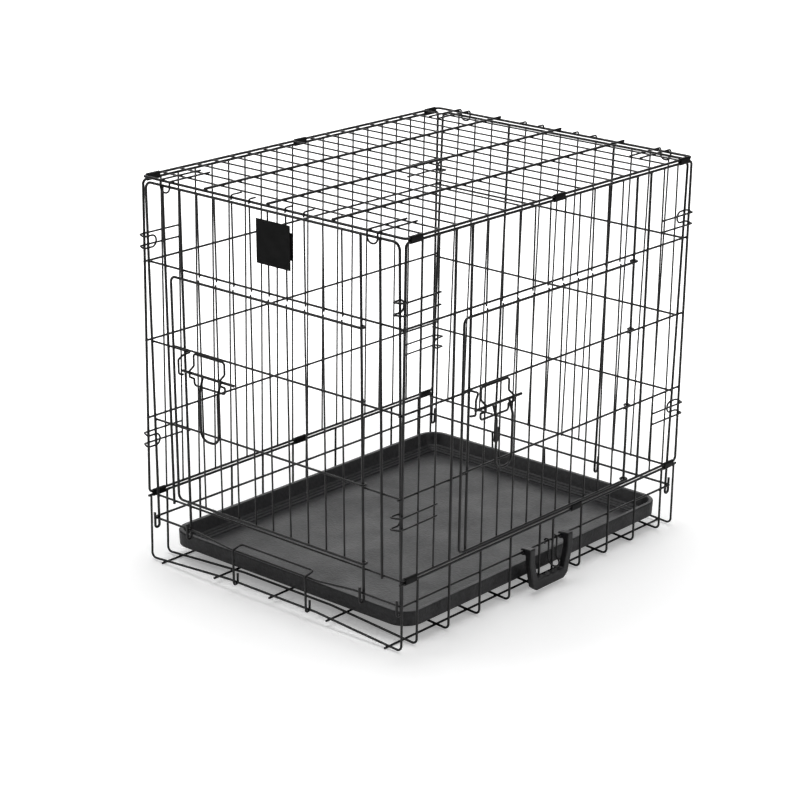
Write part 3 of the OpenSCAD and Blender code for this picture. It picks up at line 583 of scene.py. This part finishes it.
def bent_wire_tree():
    """Edges with a bend and a gauge in, coated tubes out."""
    tree = bpy.data.node_groups.new("BentWire", "GeometryNodeTree")
    sockets(tree, "INPUT", ("Geometry", "NodeSocketGeometry"), ("Sides", "NodeSocketInt"),
            ("Corner Steps", "NodeSocketInt"), ("Coat", "NodeSocketMaterial"))
    sockets(tree, "OUTPUT", ("Geometry", "NodeSocketGeometry"))
    given = add(tree, "NodeGroupInput").outputs
    curves = add(tree, "GeometryNodeMeshToCurve", {"Mesh": given["Geometry"]})
    bend = add(tree, "GeometryNodeInputNamedAttribute", {"Name": "bend"}, data_type="FLOAT")
    gauge = add(tree, "GeometryNodeInputNamedAttribute", {"Name": "gauge"}, data_type="FLOAT")
    round_off = add(tree, "GeometryNodeFilletCurve", {"Curve": curves.outputs[0],
                    "Count": given["Corner Steps"], "Radius": bend.outputs["Attribute"],
                    "Limit Radius": True}, mode="POLY")
    half = add(tree, "ShaderNodeMath", {0: gauge.outputs["Attribute"], 1: 0.5},
               operation="MULTIPLY")
    sized = add(tree, "GeometryNodeSetCurveRadius",
                {"Curve": round_off.outputs[0], "Radius": half.outputs[0]})
    section = add(tree, "GeometryNodeCurvePrimitiveCircle",
                  {"Resolution": given["Sides"], "Radius": 1.0})
    swept = {"Curve": sized.outputs[0], "Profile Curve": section.outputs[0], "Fill Caps": True}
    tubes = add(tree, "GeometryNodeCurveToMesh", swept)
    # newer versions take the radius through a Scale socket, older ones from the curve itself
    if "Scale" in tubes.inputs:
        size = add(tree, "GeometryNodeInputRadius")
        tree.links.new(size.outputs[0], tubes.inputs["Scale"])
    real = add(tree, "GeometryNodeRealizeInstances", {"Geometry": tubes.outputs[0]})
    coated = add(tree, "GeometryNodeSetMaterial",
                 {"Geometry": real.outputs[0], "Material": given["Coat"]})
    add(tree, "NodeGroupOutput", {"Geometry": coated.outputs[0]})
    return tree


bent_wire = bent_wire_tree()
print("tree", bent_wire.name, "nodes", len(bent_wire.nodes))


# %% run a tree and keep its mesh
SHARP = math.radians(40)        # edges bent further than this are shaded sharp


def grown(name, mesh, tree, values):
    """Runs a tree on a mesh and returns a plain object of the result."""
    seed = bpy.data.objects.new(name + "_seed", mesh)
    bpy.context.collection.objects.link(seed)
    modifier = seed.modifiers.new("tree", "NODES")
    modifier.node_group = tree
    for item in tree.interface.items_tree:
        if item.item_type == "SOCKET" and item.in_out == "INPUT" and item.name in values:
            modifier[item.identifier] = values[item.name]
    depsgraph = bpy.context.evaluated_depsgraph_get()
    result = bpy.data.meshes.new_from_object(seed.evaluated_get(depsgraph))
    bpy.data.objects.remove(seed)
    for name_left in [a.name for a in result.attributes if a.name in ("bend", "gauge", "bead")]:
        result.attributes.remove(result.attributes[name_left])
    piece = bpy.data.objects.new(name, result)
    piece.data.name = name
    bpy.context.collection.objects.link(piece)
    result.polygons.foreach_set("use_smooth", [True] * len(result.polygons))
    result.set_sharp_from_angle(angle=SHARP)
    return piece


def edge_mesh(name, runs):
    """Edges along every wire, with its bends and gauge in metres."""
    spots, edges, bends, gauges = [], [], [], []
    for points, radii, d, closed in runs:
        first = len(spots)
        spots += [p * MM for p in points]
        bends += [r * MM for r in radii]
        gauges += [d * MM] * len(points)
        edges += [(i, i + 1) for i in range(first, len(spots) - 1)]
        if closed:
            edges.append((len(spots) - 1, first))
    mesh = bpy.data.meshes.new(name)
    mesh.from_pydata(spots, edges, [])
    mesh.attributes.new("bend", "FLOAT", "POINT").data.foreach_set("value", bends)
    mesh.attributes.new("gauge", "FLOAT", "POINT").data.foreach_set("value", gauges)
    return mesh


SIDES, CORNER_STEPS = 16, 7
by_body = {}
for node in wires:
    by_body.setdefault(body_of[node], []).append(node)
for body, nodes in by_body.items():
    runs = [run for node in nodes for run in wires[node]]
    piece = grown(f"{body}_wires", edge_mesh(body, runs), bent_wire,
                  {"Sides": SIDES, "Corner Steps": CORNER_STEPS, "Coat": wire_coat})
    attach(piece, body)
    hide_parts(*nodes)
    print(piece.name, len(runs), "wires", len(piece.data.polygons), "faces")

# %% [markdown]
# ## Weld beads
# Where two wires cross they are spot welded, and the squeezed metal leaves a small bead that the
# coat rounds over. The crossings are found from the wires themselves: two straight runs whose
# centre lines pass at about the sum of their half gauges. A tree puts a ball at each.

# %% the bead tree
def bead_tree():
    """Points with a size in, coated balls out."""
    tree = bpy.data.node_groups.new("WeldBeads", "GeometryNodeTree")
    sockets(tree, "INPUT", ("Geometry", "NodeSocketGeometry"), ("Coat", "NodeSocketMaterial"))
    sockets(tree, "OUTPUT", ("Geometry", "NodeSocketGeometry"))
    given = add(tree, "NodeGroupInput").outputs
    ball = add(tree, "GeometryNodeMeshIcoSphere", {"Radius": 1.0, "Subdivisions": 2})
    bead = add(tree, "GeometryNodeInputNamedAttribute", {"Name": "bead"}, data_type="FLOAT")
    spots = add(tree, "GeometryNodeMeshToPoints", {"Mesh": given["Geometry"]})
    balls = add(tree, "GeometryNodeInstanceOnPoints",
                {"Points": spots.outputs[0], "Instance": ball.outputs[0],
                 "Scale": bead.outputs["Attribute"]})
    real = add(tree, "GeometryNodeRealizeInstances", {"Geometry": balls.outputs[0]})
    coated = add(tree, "GeometryNodeSetMaterial",
                 {"Geometry": real.outputs[0], "Material": given["Coat"]})
    add(tree, "NodeGroupOutput", {"Geometry": coated.outputs[0]})
    return tree


# A wire of many points ends in eyes, so this many points at each end are left out. A door's
# frame keeps its long runs. A door rail, with one eye, loses its own and gets no bead.
MANY_POINTS, EYE_POINTS = 14, 6
SHORT_RUN, TOUCH, PARALLEL = 20, 0.05, 0.05


def runs_of(node_list):
    """Straight runs of a body's wires: start, end, half gauge and the wire's number."""
    out = []
    every = [run for node in node_list for run in wires[node]]
    for number, (points, _, d, closed) in enumerate(every):
        if len(points) > MANY_POINTS:
            points = points[EYE_POINTS:-EYE_POINTS]
        ring = points + points[:1] if closed else points
        out += [(a, b, d / 2, number) for a, b in zip(ring, ring[1:]) if (b - a).length > SHORT_RUN]
    return out


def crossing(a, b, c, d):
    """Nearest points of two straight runs, or None where they are nearly parallel."""
    u, v, w = b - a, d - c, a - c
    uu, uv, vv, uw, vw = u.dot(u), u.dot(v), v.dot(v), u.dot(w), v.dot(w)
    flat = uu * vv - uv * uv
    if flat < PARALLEL * uu * vv:
        return None
    s = max(0.0, min(1.0, (uv * vw - vv * uw) / flat))
    t = max(0.0, min(1.0, (uv * s + vw) / vv))
    s = max(0.0, min(1.0, (uv * t - uw) / uu))
    return a + u * s, c + v * t


BEAD = 0.62             # radius of a bead, as a share of the thinner wire's gauge
weld_beads = bead_tree()
for body, nodes in by_body.items():
    runs = runs_of(nodes)
    spots, sizes = [], []
    for i, (a, b, r1, n1) in enumerate(runs):
        for c, d, r2, n2 in runs[i + 1:]:
            near = crossing(a, b, c, d) if n1 != n2 else None
            if near and (near[0] - near[1]).length < r1 + r2 + TOUCH:
                spots.append((near[0] * r2 + near[1] * r1) / (r1 + r2) * MM)
                sizes.append(2 * BEAD * min(r1, r2) * MM)
    if not spots:
        continue
    mesh = bpy.data.meshes.new(body + "_spots")
    mesh.from_pydata(spots, [], [])
    mesh.attributes.new("bead", "FLOAT", "POINT").data.foreach_set("value", sizes)
    piece = grown(f"{body}_welds", mesh, weld_beads, {"Coat": wire_coat})
    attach(piece, body)
    print(piece.name, len(spots), "beads")


# %% [markdown]
# ## Pressed pieces
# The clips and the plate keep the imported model's shape, and get the small rounded edges that
# pressing leaves. They could be drawn again, but a copy is sure to fit. Its loose triangles are
# merged first, so that flat faces are whole and only true edges are bevelled.

# %% rounded copies
MERGE_MM, FLAT, EDGE = 0.02, math.radians(1), math.radians(35)


def rounded(node, width_mm, material, steps):
    """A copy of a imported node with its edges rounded, standing for that node."""
    source = frame["nodes"][node]
    mesh = source.data.copy()
    work = bmesh.new()
    work.from_mesh(mesh)
    bmesh.ops.remove_doubles(work, verts=work.verts, dist=MERGE_MM * MM)
    bmesh.ops.dissolve_limit(work, angle_limit=FLAT, verts=work.verts, edges=work.edges)
    work.to_mesh(mesh)
    work.free()
    mesh.materials.clear()
    mesh.materials.append(material)
    piece = bpy.data.objects.new(node + "_rounded", mesh)
    mesh.name = piece.name
    bpy.context.collection.objects.link(piece)
    mesh.polygons.foreach_set("use_smooth", [True] * len(mesh.polygons))
    mesh.set_sharp_from_angle(angle=EDGE)
    bevel = piece.modifiers.new("rounding", "BEVEL")
    bevel.width = width_mm * MM
    bevel.segments = steps
    bevel.limit_method = "ANGLE"
    bevel.angle_limit = EDGE
    bevel.harden_normals = True
    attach(piece, body_of[node])
    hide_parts(node)
    print(piece.name, len(mesh.polygons), "faces before rounding")


for node in ("front_plate", "front_backing"):
    rounded(node, 0.3, sheet_coat_painted_shade, 2)
for node in ("roof_clips", "base_clips"):
    rounded(node, 0.25, sheet_coat_painted_shade, 2)

# %% [markdown]
# ## The carry handle
# The handle is moulded, so none of its edges is sharp and its arms flow into the grip. A bevel
# would stop at the finger bumps. Here the copy is rebuilt from small cubes of one size and then
# smoothed, which rounds each edge by about the same amount, as a mould does.

# %% the moulded handle
def moulded(node, cube_mm, passes, material):
    """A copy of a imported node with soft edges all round, standing for that node."""
    seed = bpy.data.objects.new(node + "_seed", frame["nodes"][node].data.copy())
    bpy.context.collection.objects.link(seed)
    cubes = seed.modifiers.new("cubes", "REMESH")
    cubes.mode = "VOXEL"
    cubes.voxel_size = cube_mm * MM
    soften = seed.modifiers.new("soften", "SMOOTH")
    soften.factor = 0.5
    soften.iterations = passes
    depsgraph = bpy.context.evaluated_depsgraph_get()
    mesh = bpy.data.meshes.new_from_object(seed.evaluated_get(depsgraph))
    bpy.data.objects.remove(seed)
    mesh.materials.clear()
    mesh.materials.append(material)
    mesh.polygons.foreach_set("use_smooth", [True] * len(mesh.polygons))
    mesh.name = node + "_moulded"
    piece = bpy.data.objects.new(mesh.name, mesh)
    bpy.context.collection.objects.link(piece)
    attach(piece, body_of[node])
    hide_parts(node)
    print(piece.name, len(mesh.polygons), "faces")


moulded("carry_handle", 0.8, 9, handle_plastic)

# %% [markdown]
# ## The tray
# The tray is one thin moulded sheet with a turned-down rim and stepped sides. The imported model
# already has that section, so a copy with a small bevel gives the soft edges of the mould, and
# the leather grain does the rest.

# %% the tray
rounded("tray", 0.6, tray_plastic, 2)

# %% [markdown]
# ## Floor, light and camera
# The crate stands on a plain pale floor under broad soft light, as for a catalogue. White could
# come from strong lamps, but they would wash out the black coat. So the lamps stay low, and the
# floor and the room look white to the camera alone. That white adds no light to the crate, and
# the floor keeps its shadow. The camera looks down a little on the corner between the two
# doorways, with a long lens.

# %% floor
floor_material = bpy.data.materials.new("pale_floor")
floor_material.use_nodes = True
floor_tree = floor_material.node_tree
floor_shader = floor_tree.nodes["Principled BSDF"]
floor_shader.inputs["Base Color"].default_value = linear("f4f4f4")
floor_shader.inputs["Roughness"].default_value = 0.9
floor_shader.inputs["Specular IOR Level"].default_value = 0.2
# to the camera alone, the floor glows a little, and turns plain white away from the crate
NEAR, FAR, NEAR_GLOW, FLOOR_HALF = 0.3, 0.9, 0.28, 9
floor_place = add(floor_tree, "ShaderNodeTexCoord").outputs["Object"]
distance = add(floor_tree, "ShaderNodeVectorMath", {0: floor_place}, operation="LENGTH")
fade = add(floor_tree, "ShaderNodeMapRange",
           {"Value": distance.outputs["Value"], "From Min": NEAR, "From Max": FAR,
            "To Min": NEAR_GLOW, "To Max": 1.0}, interpolation_type="SMOOTHSTEP")
rays = add(floor_tree, "ShaderNodeLightPath")
share = add(floor_tree, "ShaderNodeMath", {0: fade.outputs[0], 1: rays.outputs["Is Camera Ray"]},
            operation="MULTIPLY")
glow = add(floor_tree, "ShaderNodeEmission",
           {"Color": linear("ffffff"), "Strength": share.outputs[0]})
glowing_floor = add(floor_tree, "ShaderNodeAddShader",
                    {0: floor_shader.outputs[0], 1: glow.outputs[0]})
floor_out = floor_tree.nodes["Material Output"]
floor_tree.links.new(glowing_floor.outputs[0], floor_out.inputs["Surface"])
floor_mesh = bpy.data.meshes.new("floor")
floor_signs = ((-1, -1), (1, -1), (1, 1), (-1, 1))
floor_corners = [(x * FLOOR_HALF, y * FLOOR_HALF, 0) for x, y in floor_signs]
floor_mesh.from_pydata(floor_corners, [], [(0, 1, 2, 3)])
floor_mesh.materials.append(floor_material)
floor = bpy.data.objects.new("floor", floor_mesh)
bpy.context.collection.objects.link(floor)
floor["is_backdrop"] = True
print("floor plain white from", FAR, "m out")

# %% lights
world = bpy.data.worlds.new("studio")
world.use_nodes = True
bpy.context.scene.world = world
world_tree = world.node_tree
room = world_tree.nodes["Background"]
room.inputs[0].default_value = linear("ffffff")
# the room is dim, and only the camera sees it as a white backdrop
ROOM_LIGHT = 0.12
room_rays = add(world_tree, "ShaderNodeLightPath")
room_level = add(world_tree, "ShaderNodeMapRange",
                 {"Value": room_rays.outputs["Is Camera Ray"], "To Min": ROOM_LIGHT, "To Max": 1.0})
world_tree.links.new(room_level.outputs[0], room.inputs[1])


def softbox(name, place, aim, size, watts):
    """A rectangular area lamp at a place in metres, turned towards its aim."""
    light = bpy.data.lights.new(name, "AREA")
    light.shape, light.size, light.size_y, light.energy = "RECTANGLE", size[0], size[1], watts
    lamp = bpy.data.objects.new(name, light)
    lamp.location = place
    lamp.rotation_euler = (Vector(aim) - Vector(place)).to_track_quat("-Z", "Y").to_euler()
    bpy.context.collection.objects.link(lamp)


CRATE_HEART = (0, 0, 0.2)
softbox("top", (-0.3, 0.3, 2.6), CRATE_HEART, (2.0, 2.0), 46)
softbox("sheen", (-2.3, 2.7, 1.7), CRATE_HEART, (2.6, 1.4), 30)
softbox("key", (-1.8, -2.0, 2.4), CRATE_HEART, (1.2, 1.2), 14)
softbox("edge", (2.8, 0.4, 1.8), CRATE_HEART, (1.0, 1.6), 16)
print("lamps", [light.name for light in bpy.data.lights])

# %% camera
AZIMUTH, ELEVATION, ROLL = 0.709064, 0.331646, 0.0154146    # radians
CAMERA_X, CAMERA_Y, CAMERA_Z = 2013.66, -2389.07, 1287.65   # from between the side panels
LENS_MM, SENSOR_MM = 106.965, 36
eye_point = Vector((CAMERA_X - mid_x, CAMERA_Y, CAMERA_Z)) * MM
away = Vector((math.sin(AZIMUTH) * math.cos(ELEVATION),
               -math.cos(AZIMUTH) * math.cos(ELEVATION), math.sin(ELEVATION)))
level = Vector((math.cos(AZIMUTH), math.sin(AZIMUTH), 0))
upward = away.cross(level)
right = level * math.cos(ROLL) + upward * math.sin(ROLL)
upright = away.cross(right)
camera = bpy.data.objects.new("camera", bpy.data.cameras.new("camera"))
bpy.context.collection.objects.link(camera)
camera.matrix_world = Matrix((
    (right.x, upright.x, away.x, eye_point.x), (right.y, upright.y, away.y, eye_point.y),
    (right.z, upright.z, away.z, eye_point.z), (0, 0, 0, 1)))
camera.data.sensor_width, camera.data.lens = SENSOR_MM, LENS_MM
camera.data.clip_start, camera.data.clip_end = 0.05, 60
bpy.context.scene.camera = camera
bpy.context.scene.view_settings.view_transform = "Standard"
print("camera at", tuple(round(v, 3) for v in eye_point), "lens", LENS_MM, "mm")

# %% [markdown]
# ## Sizes
# The dressed crate must not outgrow the imported model, so its box is measured.

# %% sizes
low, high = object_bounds()
